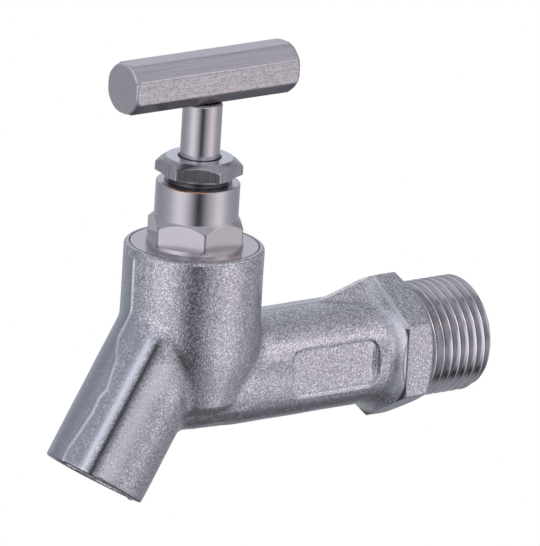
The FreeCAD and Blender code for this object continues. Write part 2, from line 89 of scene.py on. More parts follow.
# Its outside, which has the skin: radii, the spout's slope, and where the spout's axis crosses the spindle's
BARREL_RADIUS = 12.6 * MM
BARREL_TAPER_TOP = 8.0 * MM
BARREL_TAPER = 0.3
BARREL_FOOT = -9.0 * MM
PIPE_INNER = 8.1 * MM
SPOUT_RADIUS = 9.5 * MM
SPOUT_TILT = math.radians(30.9)
SPOUT_CROSSING = 15.9 * MM
SPOUT_MOUTH = 37.72 * MM
SKIN_DEPTH = 1.2 * MM

# The parting line: its ridge, how far the surfaces it runs on may face sideways, where it ends before the hexagon,
# and its place across the front and share of painted highlight by height. A line of painted shade runs at its left.
PARTING_HEIGHT = 0.22 * MM
PARTING_WIDTH = 0.32 * MM
PARTING_FACING = (0.2, 0.7)
PARTING_END = -7.0 * MM
PARTING_FADE = 2.0 * MM
PARTING_WANDER = [(-12.0, 1.3), (-9.6, 1.1), (-6.9, 1.65), (-3.0, 2.2), (-0.7, 2.0), (0.8, 2.6), (2.4, 2.3),
                  (5.8, 1.5), (7.0, 0.6), (9.0, -0.6), (14.0, -0.7), (23.0, -0.8)]
PARTING_HIGHLIGHT_SHARE = [(-12.0, 0.6), (6.0, 0.6), (10.0, 1.0)]
SHADE_LINE_OFF = 0.6 * MM
SHADE_LINE_WIDTH = 0.2 * MM
SHADE_LINE_SHARE = 0.5

# The front is ground smooth up to a right edge, given by height, with streaks between the parting line and the edge
GROUND_EDGE = [(-14.0, 6.0), (8.5, 6.0), (10.0, 4.5), (13.0, 1.0), (16.0, -0.3), (24.0, -0.6)]
GROUND_LEFT = -7.5 * MM
GROUND_FADE = 0.8 * MM
STREAK_WIDTH = 0.7 * MM
STREAK_LENGTH = 7.0 * MM
STREAK_LEVEL = 0.2
STREAK_CONTRAST = 1.3

# The crease down the spout's front from the barrel's foot, with painted shade in it, the band of painted highlight
# at its left, the strip of painted highlight at its right, the strip of painted shade beyond that, towards the mouth,
# and the painted shade on the face of the mouth
CREASE_PLACE = 6.6 * MM
CREASE_WIDTH = 0.28 * MM
CREASE_DEPTH = 0.06 * MM
CREASE_ACROSS = 5.0 * MM
CREASE_TOP = 10.5 * MM
CREASE_FADE = 1.5 * MM
BAND_OFF = 1.2 * MM
BAND_WIDTH = 0.5 * MM
BAND_HIGHLIGHT_SHARE = 0.75
HIGHLIGHT_STRIP = (7.0 * MM, 7.6 * MM, 8.9 * MM, 9.4 * MM)
HIGHLIGHT_STRIP_TOP = 6.0 * MM
HIGHLIGHT_STRIP_SHARE = 0.5
SHADE_STRIP = (7.5 * MM, 9.3 * MM)
SHADE_STRIP_FROM = 20.0 * MM
SHADE_STRIP_SHARE = 0.2
MOUTH_SHADE_SHARE = 0.8

# The painted shade in the hollow between the spout and the barrel's foot: its middle and share by height
HOLLOW_X = 6.0 * MM
HOLLOW_Y = [(-4.0, -52.6), (0.0, -54.0), (8.0, -55.3)]
HOLLOW_WIDTH = 1.8 * MM
HOLLOW_SHADE_SHARE = [(-7.0, 0.0), (-4.0, 0.5), (6.0, 0.5), (11.0, 0.0)]

# The hexagon: the line of painted shade round its front edge and below its near side, with painted highlight above
# that side, the painted highlight on the slope before it, and the painted shade on its underside
HEXAGON_EDGE = -6.0 * MM
HEXAGON_INNER = 10.7 * MM
HEXAGON_CORNER = 6.2 * MM
HEXAGON_LINE_WIDTH = 0.18 * MM
HEXAGON_LINE_STRENGTH = 1.4
HEXAGON_FLAT = 11.5 * MM
HEXAGON_FOOT = -6.9 * MM
HEXAGON_FOOT_WIDTH = 0.3 * MM
SLOPE_START = -8.7 * MM
SLOPE_END = -6.1 * MM
SLOPE_INNER = 10.2 * MM
SLOPE_SIDE = (7.0 * MM, 9.0 * MM)
SLOPE_HIGHLIGHT_SHARE = (0.3, 0.6)
UNDERSIDE_START = -8.8 * MM
UNDERSIDE_TOP = -7.2 * MM
UNDERSIDE_SHADE_SHARE = 0.2

# The side panel, half its straight length and height, the lines of painted shade and painted highlight on its rim, and
# the painted highlight on the fillet at its end
PANEL_X = 7.0 * MM
PANEL_Y = -20.5 * MM
PANEL_Z = 0.2 * MM
PANEL_HALF = (7.4 * MM, 2.1 * MM)
PANEL_CORNER = 2.3 * MM
PANEL_DARK_OFF = -0.1 * MM
PANEL_DARK_WIDTH = 0.17 * MM
PANEL_DARK_SHARE = 0.5
PANEL_BRIGHT_OFF = 0.2 * MM
PANEL_BRIGHT_WIDTH = 0.25 * MM
PANEL_BRIGHT_SHARE = 0.35
PANEL_END = -11.8 * MM
PANEL_END_WIDTH = 0.6 * MM
PANEL_END_HALF = 3.6 * MM
PANEL_END_SHARE = 0.6

# Tones of the painted marks: how much painted bluish shade shows where the front is ground, and its colour, and the
# colours of painted highlights and painted shade
GROUND_SHADE_SHARE = 0.27
GROUND_SHADE_COLOUR = (0.183, 0.242, 0.383)
HIGHLIGHT_COLOUR = (0.808, 0.808, 0.833)
SHADE_COLOUR = (0.0833, 0.0792, 0.0917)

# Meshes: the distances within which points are welded, the widths of the machined pieces' broken edges, and the
# angles in degrees up to which faces count as one flat and from which an edge is sharp
WELD = 0.001 * MM
THREAD_WELD = 0.002 * MM
EDGE = 0.12 * MM
NUT_EDGE = 0.2 * MM
FLAT_ANGLE = 0.5
MACHINED_ANGLE = 24
CAST_ANGLE = 38
THREAD_ANGLE = 40

# Surface marks: their scales in waves per metre, how far they are drawn out along x, y and z, the heights of their
# layers, how flat grinding makes the casting's grain, and how far a steel's roughness varies
CLOUDS = 160.0
GRAIN = 2600.0
FINE_GRAIN = 6000.0
RINGS = 5200.0
TURNED_GRAIN = 4200.0
BAR_LINES = 3600.0
BAR_GRAIN = 3000.0
CUTTER_MARKS = 2800.0
PLAIN_GRAIN = 2500.0
COPPER_PATCHES = 1500.0
LINES_DRAWN = (1, 0.03, 1)
GRAIN_DRAWN = (1, 0.5, 1)
CUTTER_DRAWN = (1, 1, 0.06)
GRAIN_HEIGHT = 4.0
FINE_HEIGHT = 0.3
GROUND_FLATNESS = 0.65
RING_HEIGHT = 0.6
LINE_HEIGHT = 0.4
PLAIN_LINE_HEIGHT = 0.5
PLAIN_LEVEL = 0.3
ROUGHNESS_SPREAD = 0.05

# The steel of the bonnet and spindle
TURNED_COLOUR = (0.565, 0.53, 0.548)

# Bonnet: its hexagon's corners by turn in degrees and radii, how many degrees wide their lines are, its flange's edge,
# how much painted shade these lines and the flange beyond its edge take, and the patchy copper colour on the front of
# the neck's top
BONNET_TURN = -25.2
BONNET_CORNER = (8.68 * MM, 9.48 * MM)
BONNET_HEX_FOOT = 25.55 * MM
CORNER_LINE = 3.0
FLANGE_EDGE = 11.4 * MM
BONNET_SHADE_SHARE = 0.75
NECK_RADIUS = 7.55 * MM
COPPER_FOOT = 36.05 * MM
COPPER_WAY = (0.62, -0.785)
COPPER_COLOUR = (0.517, 0.275, 0.133)

# Gland nut: its corners with painted highlight, its top with painted light, and its hole and shank with painted shade
NUT_TURN = -7.9
NUT_CORNER = 7.48 * MM
NUT_CORNER_HIGHLIGHT_SHARE = 0.8
NUT_HOLE = 4.0 * MM
NUT_TOP = 40.8 * MM
NUT_TOP_LIGHT_COLOUR = (0.617, 0.617, 0.65)
NUT_SHANK = 37.42 * MM
NUT_SHADE_COLOUR = (0.1, 0.0958, 0.1)

# Bar: its heights, half width and half length, the cone at its ends, and the tenon in its top, where points within
# TOP_MARGIN count as on top. Its facets below BAR_LOW take painted shade, and its ends painted highlight.
BAR_TOP = 60.0 * MM
BAR_MIDDLE = 55.5 * MM
BAR_LOW = 53.4 * MM
BAR_LOW_SHADE_SHARE = 0.4
BAR_SIDE = 4.4 * MM
BAR_HALF = 18.0 * MM
BAR_RIM = 0.26 * MM
BAR_END_RADIUS = 4.4 * MM
BAR_END_LENGTH = 0.75 * MM
BAR_END_SLOPE = 0.7
BAR_END_HIGHLIGHT_SHARE = 0.6
BAR_SECTORS = 16
TENON_REACH = 2.0 * MM
TENON_SHOWS = 0.3 * MM
TOP_MARGIN = 0.01 * MM
TENON_COLOUR = (0.475, 0.463, 0.483)

# Floor, well below the tap
FLOOR_HEIGHT = -120 * MM
FLOOR_REACH = 4.0
FLOOR_COLOUR = (0.9, 0.9, 0.9, 1)

# The soft light round the tap, by bearing from the camera's, positive to its right, and elevation, in degrees: the
# plain tent by elevation, its lit patches as bearing, elevation, width, height and colour, and its dark ones with how
# much of the light each takes away
TENT = [(-90, 0.12), (-70, 0.24), (-45, 0.528), (-20, 0.552), (0, 0.6), (30, 0.624), (60, 0.6), (90, 0.72)]
TENT_TINT = (0.94, 0.975, 1.085)
LIT = [(-46, -8, 25, 24, (0.72, 0.696, 0.72)), (-26, 30, 14, 22, (0.444, 0.444, 0.516)),
       (76, 33, 26, 13, (0.912, 0.792, 0.804)), (26, 14, 13, 13, (0.564, 0.528, 0.564)),
       (65, -19, 22, 13, (0.672, 0.576, 0.588)), (75, -46, 20, 14, (0.384, 0.36, 0.372)),
       (180, 18, 22, 12, (0.192, 0.204, 0.24))]
DARK = [(-50, 34, 16, 14, 0.25), (7, -19, 17, 20, 1.0), (-2, 28, 8, 16, 0.6), (12, -52, 30, 15, 0.55),
        (152, -50, 30, 22, 0.75), (-122, 8, 26, 35, 0.3), (135, 20, 28, 34, 0.38), (-50, -45, 16, 12, 1.0)]
TOWARDS_CAMERA = (0.7914, -0.6113, 0.0)
RIGHT_OF_CAMERA = (0.6113, 0.7914, 0.0)
WHITE = (1, 1, 1, 1)

# Camera, fitted to the photograph
CAMERA_PLACE = (1.910297, -1.504985, 0.745677)
CAMERA_RIGHT = (0.59597288, 0.80081819, 0.05921607)
CAMERA_UP = (-0.26614806, 0.12741671, 0.95547381)
CAMERA_BACK = (0.75761569, -0.58519672, 0.28907311)
FOCAL_PIXELS = 14105.6
IMAGE_HEIGHT = 546
SENSOR = 36.0
FARTHEST = 20.0


class Graph:
    """A node tree being built: places nodes, sets their sockets and joins them."""

    def __init__(self, tree):
        self.tree = tree
        tree.nodes.clear()

    def add(self, kind, settings=None, **sockets):
        """Adds a node with its settings, and fills its sockets by name, with _ for a space."""
        node = self.tree.nodes.new("ShaderNode" + kind)
        for name, value in (settings or {}).items():
            setattr(node, name, value)
        for name, value in sockets.items():
            self.put(node.inputs[name.replace("_", " ")], value)
        return node

    def put(self, socket, value):
        """Gives a socket a value, or joins it to another node's output."""
        if isinstance(value, bpy.types.NodeSocket):
            self.tree.links.new(value, socket)
        else:
            socket.default_value = value

    def maths(self, operation, *values):
        node = self.add("Math", {"operation": operation})
        for socket, value in zip(node.inputs, values):
            self.put(socket, value)
        return node.outputs[0]

    def ramp(self, factor, stops):
        """A colour ramp from (place, value) stops, where a value is a number or a colour."""
        node = self.add("ValToRGB")
        elements = node.color_ramp.elements
        while len(elements) < len(stops):
            elements.new(0.5)
        for element, (place, value) in zip(elements, stops):
            element.position = place
            element.color = (value, value, value, 1) if isinstance(value, (int, float)) else (*value, 1)
        self.put(node.inputs[0], factor)
        return node.outputs[0]

    def noise(self, vector, scale, detail=2.0, roughness=0.5, distortion=0.0):
        node = self.add("TexNoise", Vector=vector, Scale=scale, Detail=detail,
                        Roughness=roughness, Distortion=distortion)
        return node.outputs["Fac"]

    def stretched(self, vector, factors):
        """Coordinates in which a pattern is drawn out along an axis with a small factor."""
        return self.add("Mapping", {"vector_type": "POINT"}, Vector=vector, Scale=factors).outputs[0]

    def blended(self, kind, share, first, second):
        """The first colour with a share of the second mixed in for it or added to it."""
        mix = self.add("Mix", {"data_type": "RGBA", "blend_type": kind})
        for socket, value in ((mix.inputs["Factor"], share), (mix.inputs[6], first), (mix.inputs[7], second)):
            self.put(socket, value)
        return mix.outputs[2]

    def mixed_in(self, share, tone, colour):
        """A tone with a share of a plain colour mixed in."""
        return self.blended("MIX", share, tone, (*colour, 1))

    def either(self, share, first, second):
        """The first shader, or the second where the share is 1."""
        mix = self.add("MixShader", Fac=share)
        self.put(mix.inputs[1], first.outputs[0])
        self.put(mix.inputs[2], second.outputs[0])
        return mix

    def shown(self, shader, output="OutputMaterial"):
        """Joins a shader to the tree's output."""
        self.put(self.add(output).inputs["Surface"], shader.outputs[0])

    def place(self):
        """A point's place in the CAD frame."""
        return self.add("TexCoord").outputs["Object"]

    def parts(self):
        """A point's x, y and z in the CAD frame."""
        return self.add("SeparateXYZ", Vector=self.place()).outputs

    def length(self, first, second):
        """The length of a vector with two parts."""
        return self.maths("SQRT", self.maths("ADD", self.maths("MULTIPLY", first, first),
                                             self.maths("MULTIPLY", second, second)))

    def outward(self):
        """The distance from the spindle's axis."""
        x, y, _ = self.parts()
        return self.length(x, self.maths("SUBTRACT", y, SPINDLE_Y))


def around_spindle(graph):
    """Coordinates for turned surfaces: distance from the spindle's axis and height."""
    return graph.add("CombineXYZ", X=graph.outward(), Y=graph.parts()[2]).outputs[0]


def along_inlet(graph):
    """Coordinates for surfaces turned about the inlet's axis: distance from it and place along it."""
    x, y, z = graph.parts()
    return graph.add("CombineXYZ", X=graph.length(x, z), Y=y).outputs[0]


def new_material(name):
    """A new material, and the graph that builds its nodes."""
    material = bpy.data.materials.new(name)
    material.use_nodes = True
    return material, Graph(material.node_tree)


def steel(name, colour, roughness, marks, depth, darker=0.82, stops=(0.3, 0.62), cloudy=0.45, painted_light_and_colour=None):
    """Bare steel. marks(graph) gives the height of its surface marks, from 0 to 1, and depth their depth.
    Its tone runs from darker times the colour to the colour between the stops, and the last argument, given graph and
    tone, paints highlights, shade and other colours onto that tone."""
    material, graph = new_material(name)
    height = marks(graph)
    cloud = graph.noise(graph.place(), CLOUDS, 3.0)
    mixed = graph.maths("MULTIPLY_ADD", height, 1 - cloudy, graph.maths("MULTIPLY", cloud, cloudy))
    tone = graph.ramp(mixed, [(stops[0], tuple(darker * c for c in colour)), (stops[1], colour)])
    if painted_light_and_colour:
        tone = painted_light_and_colour(graph, tone)
    rough = graph.maths("MULTIPLY_ADD", cloud, 2 * ROUGHNESS_SPREAD, roughness - ROUGHNESS_SPREAD)
    bump = graph.add("Bump", Strength=1.0, Distance=depth, Height=height).outputs[0]
    graph.shown(graph.add("BsdfPrincipled", Base_Color=tone, Metallic=1.0, Roughness=rough, Normal=bump))
    return material


def skin_marks(graph):
    """Where the casting is ground, and its painted highlights and painted shade, as casting() stored them."""
    marks = graph.add("Attribute", {"attribute_name": "marks"}).outputs["Vector"]
    return graph.add("SeparateXYZ", Vector=marks).outputs


def blasted_marks(graph):
    """The fine worm-like grain of a bead-blasted casting, flatter where it is ground."""
    grain = graph.maths("ABSOLUTE", graph.maths("SUBTRACT", graph.noise(graph.place(), GRAIN, 1.0, 0.5, 0.5), 0.5))
    fine = graph.noise(graph.place(), FINE_GRAIN, 1.0)
    mixed = graph.maths("MULTIPLY_ADD", grain, GRAIN_HEIGHT, graph.maths("MULTIPLY", fine, FINE_HEIGHT))
    blasted = graph.maths("MULTIPLY_ADD", skin_marks(graph)[0], -GROUND_FLATNESS, 1.0)
    return graph.maths("MULTIPLY_ADD", graph.maths("SUBTRACT", mixed, 0.5), blasted, 0.5)


def marked(graph, tone):
    """The casting's tone, with a painted bluish shade where ground, and its painted highlights and painted shade."""
    ground, bright, dark = skin_marks(graph)
    tone = graph.mixed_in(graph.maths("MULTIPLY", ground, GROUND_SHADE_SHARE), tone, GROUND_SHADE_COLOUR)
    tone = graph.mixed_in(bright, tone, HIGHLIGHT_COLOUR)
    return graph.mixed_in(dark, tone, SHADE_COLOUR)


def turned_marks(graph):
    """Rings round the spindle, with a fine grain."""
    grain = graph.noise(graph.place(), TURNED_GRAIN, 1.0)
    return graph.maths("MULTIPLY_ADD", graph.noise(around_spindle(graph), RINGS, 2.0), RING_HEIGHT,
                       graph.maths("MULTIPLY", grain, 1 - RING_HEIGHT))


def inlet_marks(graph):
    """Rings round the inlet's axis."""
    return graph.noise(along_inlet(graph), RINGS, 2.0)


def crested(graph, tone):
    """Painted highlights on the thread's crests and painted shade in its roots."""
    radius = graph.add("SeparateXYZ", Vector=along_inlet(graph)).outputs[0]
    depth = graph.maths("DIVIDE", graph.maths("SUBTRACT", THREAD_RADIUS, radius), THREAD_DEPTH)
    tone = graph.mixed_in(graph.ramp(depth, [(0.03, 1.0), (0.12, 0.0)]), tone, HIGHLIGHT_COLOUR)
    return graph.mixed_in(graph.ramp(depth, [(0.75, 0.0), (0.98, 0.4)]), tone, SHADE_COLOUR)


def drawn_marks(graph):
    """Lines drawn along the bar, with small pits on its two upright sides only."""
    upright = graph.maths("GREATER_THAN", graph.maths("ABSOLUTE", graph.parts()[0]), BAR_SIDE)
    lines = graph.noise(graph.stretched(graph.place(), LINES_DRAWN), BAR_LINES, 3.0)
    grain = graph.noise(graph.stretched(graph.place(), GRAIN_DRAWN), BAR_GRAIN, 2.0)
    pits = graph.ramp(graph.noise(graph.place(), GRAIN, 1.0), [(0.3, 0.0), (0.38, 1.0)])
    grained = graph.maths("MULTIPLY_ADD", lines, LINE_HEIGHT, graph.maths("MULTIPLY", grain, 1 - LINE_HEIGHT))
    pitted = graph.maths("MULTIPLY", grained, pits)
    plain = graph.maths("MULTIPLY_ADD", lines, PLAIN_LINE_HEIGHT, PLAIN_LEVEL)
    change = graph.maths("MULTIPLY", graph.maths("SUBTRACT", pitted, plain), upright)
    return graph.maths("ADD", plain, change)


def milled_marks(graph):
    """Upright cutter marks on the sides of a nut."""
    return graph.noise(graph.stretched(graph.place(), CUTTER_DRAWN), CUTTER_MARKS, 2.0)


def plain_marks(graph):
    """A fine grain."""
    return graph.noise(graph.place(), PLAIN_GRAIN, 2.0)


def corners(graph, turn, radius):
    """The upright lines at the corners of a hexagon round the spindle, every 60 degrees, by its turn from +X in
    degrees and least radius."""
    x, y, _ = graph.parts()
    bearing = graph.maths("DEGREES", graph.maths("ARCTAN2", graph.maths("SUBTRACT", y, SPINDLE_Y), x))
    off = graph.maths("ABSOLUTE", graph.maths("WRAP", graph.maths("SUBTRACT", bearing, turn), 30.0, -30.0))
    return graph.maths("MULTIPLY", graph.ramp(graph.maths("DIVIDE", off, CORNER_LINE), [(0.2, 1.0), (0.5, 0.0)]),
                       graph.maths("GREATER_THAN", graph.outward(), radius))


def bonnet_shade_and_copper(graph, tone):
    """Painted shade in lines at the bonnet's hexagon's corners and round its flange, and a patchy copper colour on the
    front of the neck's top edge."""
    x, y, z = graph.parts()
    side = graph.maths("MULTIPLY", graph.maths("LESS_THAN", graph.outward(), BONNET_CORNER[1]),
                       graph.maths("GREATER_THAN", z, BONNET_HEX_FOOT))
    line = graph.maths("MULTIPLY", corners(graph, BONNET_TURN, BONNET_CORNER[0]), side)
    line = graph.maths("MAXIMUM", line, graph.maths("GREATER_THAN", graph.outward(), FLANGE_EDGE))
    tone = graph.mixed_in(graph.maths("MULTIPLY", line, BONNET_SHADE_SHARE), tone, SHADE_COLOUR)
    front = graph.maths("MULTIPLY_ADD", x, COPPER_WAY[0],
                        graph.maths("MULTIPLY", graph.maths("SUBTRACT", y, SPINDLE_Y), COPPER_WAY[1]))
    facing = graph.ramp(graph.maths("DIVIDE", front, NECK_RADIUS), [(0.8, 0.0), (0.93, 1.0)])
    high = graph.maths("GREATER_THAN", z, COPPER_FOOT)
    patchy = graph.ramp(graph.noise(graph.place(), COPPER_PATCHES, 2.0), [(0.36, 0.35), (0.5, 1.0)])
    share = graph.maths("MULTIPLY", graph.maths("MULTIPLY", facing, high), patchy)
    return graph.mixed_in(share, tone, COPPER_COLOUR)


def shaded_nut(graph, tone):
    """Painted light makes the gland nut's flat top paler than its sides; its corners take painted highlights, and its
    hole and shank painted shade.
    """
    height = graph.parts()[2]
    tone = graph.mixed_in(graph.maths("GREATER_THAN", height, NUT_TOP), tone, NUT_TOP_LIGHT_COLOUR)
    tone = graph.mixed_in(graph.maths("LESS_THAN", graph.outward(), NUT_HOLE), tone, NUT_SHADE_COLOUR)
    edges = graph.maths("MULTIPLY", corners(graph, NUT_TURN, NUT_CORNER), NUT_CORNER_HIGHLIGHT_SHARE)
    tone = graph.mixed_in(edges, tone, HIGHLIGHT_COLOUR)
    return graph.mixed_in(graph.maths("LESS_THAN", height, NUT_SHANK), tone, NUT_SHADE_COLOUR)


def shaded_bar(graph, tone):
    """Painted shade on the bar's lower facets, and painted highlight round its ends by the distance from them in
    millimetres.
    """
    _, y, z = graph.parts()
    along = graph.maths("ABSOLUTE", graph.maths("SUBTRACT", y, SPINDLE_Y))
    side = graph.maths("LESS_THAN", along, BAR_HALF - BAR_RIM)
    low = graph.maths("MULTIPLY", graph.maths("LESS_THAN", z, BAR_LOW), side)
    tone = graph.mixed_in(graph.maths("MULTIPLY", low, BAR_LOW_SHADE_SHARE), tone, SHADE_COLOUR)
    end = graph.ramp(graph.maths("DIVIDE", graph.maths("SUBTRACT", BAR_HALF, along), MM),
                     [(0.0, 0.0), (0.04, BAR_END_HIGHLIGHT_SHARE), (0.28, BAR_END_HIGHLIGHT_SHARE), (0.33, 0.0)])
    return graph.mixed_in(end, tone, HIGHLIGHT_COLOUR)


def tipped(graph, tone):
    """The tenon's end takes the bar's tone, so that it hardly shows there."""
    return graph.mixed_in(graph.maths("GREATER_THAN", graph.parts()[2], BAR_TOP - TENON_SHOWS), tone, TENON_COLOUR)


def soft(name, colour, roughness, scale, depth, darker=0.8):
    """Packing, gasket or rubber, with a grain that runs from a darker tone to the colour."""
    material, graph = new_material(name)
    grain = graph.noise(graph.place(), scale, 3.0)
    tone = graph.ramp(grain, [(0.3, tuple(darker * c for c in colour)), (0.7, colour)])
    bump = graph.add("Bump", Strength=1.0, Distance=depth, Height=grain).outputs[0]
    graph.shown(graph.add("BsdfPrincipled", Base_Color=tone, Roughness=roughness, Normal=bump))
    return material


def new_object(name, data):
    """A new object in the scene, which holds a mesh or camera."""
    piece = bpy.data.objects.new(name, data)
    bpy.context.scene.collection.objects.link(piece)
    return piece


@contextmanager
def reshaped(mesh):
    """A mesh opened to change its shape, and written back afterwards."""
    shape = bmesh.new()
    shape.from_mesh(mesh)
    yield shape
    shape.to_mesh(mesh)
    shape.free()


def copied(node, name):
    """A free copy of a CAD node's mesh, welded, and with its degenerate edges and faces dissolved."""
    mesh = frame["nodes"][node].data.copy()
    mesh.name = name
    mesh.materials.clear()
    with reshaped(mesh) as shape:
        bmesh.ops.remove_doubles(shape, verts=shape.verts, dist=WELD)
        bmesh.ops.dissolve_degenerate(shape, edges=shape.edges, dist=WELD)
    for attribute in ("custom_normal", "sharp_edge", "sharp_face"):
        if attribute in mesh.attributes:
            mesh.attributes.remove(mesh.attributes[attribute])
    return new_object(name, mesh)


def applied(piece):
    """Replaces a piece's mesh by what its modifiers make of it."""
    graph = bpy.context.evaluated_depsgraph_get()
    mesh = bpy.data.meshes.new_from_object(piece.evaluated_get(graph))
    piece.modifiers.clear()
    piece.data = mesh
    return piece


def smooth(mesh, degrees):
    """Shades a mesh smooth, but for the edges that turn by more than so many degrees."""
    mesh.polygons.foreach_set("use_smooth", [True] * len(mesh.polygons))
    mesh.set_sharp_from_angle(angle=math.radians(degrees))


def everything(shape):
    """All that a mesh has, for the tools that ask for it."""
    return shape.verts[:] + shape.edges[:] + shape.faces[:]


def cut(piece, point, normal):
    """Takes away what lies beyond a plane and closes the cut."""
    with reshaped(piece.data) as shape:
        result = bmesh.ops.bisect_plane(shape, geom=everything(shape), plane_co=point, plane_no=normal,
                                        clear_outer=True)
        edges = [e for e in result["geom_cut"] if isinstance(e, bmesh.types.BMEdge)]
        bmesh.ops.triangle_fill(shape, edges=edges, use_beauty=True)


def by_spout(points):
    """Places along the spout's axis, down from the spindle's, and across it, towards the front."""
    forward, down = SPINDLE_Y - points[:, 1], SPOUT_CROSSING - points[:, 2]
    along = forward * math.sin(SPOUT_TILT) + down * math.cos(SPOUT_TILT)
    across = forward * math.cos(SPOUT_TILT) - down * math.sin(SPOUT_TILT)
    return along, across


def at_height(points, table, unit=MM):
    """What a table gives at each point's height, in the table's unit."""
    return np.interp(points[:, 2], [height * MM for height, _ in table], [value * unit for _, value in table])


def near(distance, width):
    """1 where a distance is 0, and next to nothing beyond twice the width."""
    return np.exp(-(distance / width) ** 2)


def outside(points):
    """Which points lie on the outer skin: not within the barrel or spout drawn in by SKIN_DEPTH, nor in the pipe."""
    x, y, z = points[:, 0], points[:, 1] - SPINDLE_Y, points[:, 2]
    narrowed = np.clip(BARREL_TAPER_TOP - z, 0, None) * BARREL_TAPER
    barrel = (np.hypot(x, y) > BARREL_RADIUS - SKIN_DEPTH - narrowed) | (z < BARREL_FOOT)
    pipe = (np.hypot(x, z) > PIPE_INNER) | (y < 0)
    along, across = by_spout(points)
    spout = (np.hypot(x, across) > SPOUT_RADIUS - SKIN_DEPTH) | (along < 0)
    return barrel & pipe & spout


def parting_line(points, normals):
    """The parting line, which wanders on the front and runs along the pipe's top."""
    middle = np.where(points[:, 1] < SPINDLE_Y, at_height(points, PARTING_WANDER), 0)
    in_plane = np.interp(np.abs(normals[:, 0]), PARTING_FACING, (1, 0))
    before_hexagon = np.clip((PARTING_END - points[:, 1]) / PARTING_FADE, 0, 1)
    return near(points[:, 0] - middle, PARTING_WIDTH) * in_plane * before_hexagon


def shade_line(points):
    """Painted shade along a line at the parting line's left, on the barrel's front."""
    off = points[:, 0] - at_height(points, PARTING_WANDER) + SHADE_LINE_OFF
    return near(off, SHADE_LINE_WIDTH) * (points[:, 2] > CREASE_TOP) * (points[:, 1] < SPINDLE_Y)


def ground_strip(points):
    """Where the front is ground smooth, with streaks at the parting line's right."""
    x = points[:, 0]
    left = np.clip((x - GROUND_LEFT) / GROUND_FADE, 0, 1)
    right = np.clip((at_height(points, GROUND_EDGE) - x) / GROUND_FADE, 0, 1)
    strip = left * right * (points[:, 1] < SPINDLE_Y)
    beside = np.clip((x - at_height(points, PARTING_WANDER)) / STREAK_WIDTH, 0, 1) * (points[:, 2] < CREASE_TOP)
    along = by_spout(points)[0]
    for i in np.nonzero(strip * beside)[0]:
        streak = noise.noise(Vector((x[i] / STREAK_WIDTH, along[i] / STREAK_LENGTH, 0)))
        strip[i] *= 1 - beside[i] * min(1, max(0, STREAK_LEVEL + STREAK_CONTRAST * streak))
    return strip


def crease(points):
    """The crease down the spout's front, which takes painted shade, twice as wide at its right, and the band of
    painted highlight at its left.
    """
    front = by_spout(points)[1] > CREASE_ACROSS
    below_barrel = front * np.clip((CREASE_TOP - points[:, 2]) / CREASE_FADE, 0, 1)
    off = points[:, 0] - CREASE_PLACE
    line = near(off, np.where(off > 0, 2, 1) * CREASE_WIDTH)
    return line * below_barrel, near(off + BAND_OFF, BAND_WIDTH) * below_barrel


def beyond_crease(points):
    """Painted highlight on a strip of the spout at the crease's right, and painted shade on the strip beyond it."""
    along, across = by_spout(points)
    strip_highlight = np.interp(points[:, 0], HIGHLIGHT_STRIP, (0, 1, 1, 0)) * ((across > 0) & (points[:, 2] < HIGHLIGHT_STRIP_TOP))
    return strip_highlight, np.interp(points[:, 0], SHADE_STRIP, (0, 1)) * (along > SHADE_STRIP_FROM)


def hollow_shade(points):
    """Painted shade in the hollow between the spout and the barrel's foot, on the near side."""
    middle = near(points[:, 1] - at_height(points, HOLLOW_Y), HOLLOW_WIDTH) * (points[:, 0] > HOLLOW_X)
    return middle * at_height(points, HOLLOW_SHADE_SHARE, 1)


def hexagon_edge(points):
    """The hexagon's front edge, in two parts: painted shade on it, with the foot of its near side, and painted
    highlight on it above that side.
    """
    corner = np.hypot(points[:, 0], points[:, 2]) > HEXAGON_INNER
    edge = near(points[:, 1] - HEXAGON_EDGE, HEXAGON_LINE_WIDTH)
    edge = np.minimum(1, HEXAGON_LINE_STRENGTH * edge) * corner
    high = points[:, 2] > HEXAGON_CORNER
    foot = near(np.hypot(points[:, 0] - HEXAGON_FLAT, points[:, 2] - HEXAGON_FOOT), HEXAGON_FOOT_WIDTH)
    return np.maximum(edge * ~high, foot * (points[:, 1] > HEXAGON_EDGE)), edge * high


def hexagon_slope(points):
    """Painted highlight on the slope before the hexagon, stronger on the near side, and painted shade on the underside
    of both.
    """
    x, y, z = points.T
    slope = (y > SLOPE_START) & (y < SLOPE_END) & (np.hypot(x, z) > SLOPE_INNER) & (z > -HEXAGON_CORNER)
    return slope * np.interp(x, SLOPE_SIDE, SLOPE_HIGHLIGHT_SHARE), (y > UNDERSIDE_START) & (z < UNDERSIDE_TOP)


def panel_edge(points):
    """The rim of the side panel, in two parts: painted shade round its top and ends, and painted highlight along its
    foot.
    Then painted highlight on the fillet at its end next to the hexagon."""
    y, z = np.abs(points[:, 1] - PANEL_Y) - PANEL_HALF[0], np.abs(points[:, 2] - PANEL_Z) - PANEL_HALF[1]
    off = np.hypot(np.clip(y, 0, None), np.clip(z, 0, None)) + np.minimum(np.maximum(y, z), 0) - PANEL_CORNER
    low = np.clip((PANEL_Z - points[:, 2]) / PANEL_CORNER, 0, 1)
    side = points[:, 0] > PANEL_X
    end = near(points[:, 1] - PANEL_END, PANEL_END_WIDTH) * (np.abs(points[:, 2] - PANEL_Z) < PANEL_END_HALF)
    return (near(off - PANEL_DARK_OFF, PANEL_DARK_WIDTH) * side * (1 - low),
            near(off - PANEL_BRIGHT_OFF, PANEL_BRIGHT_WIDTH) * side * low, end * side)


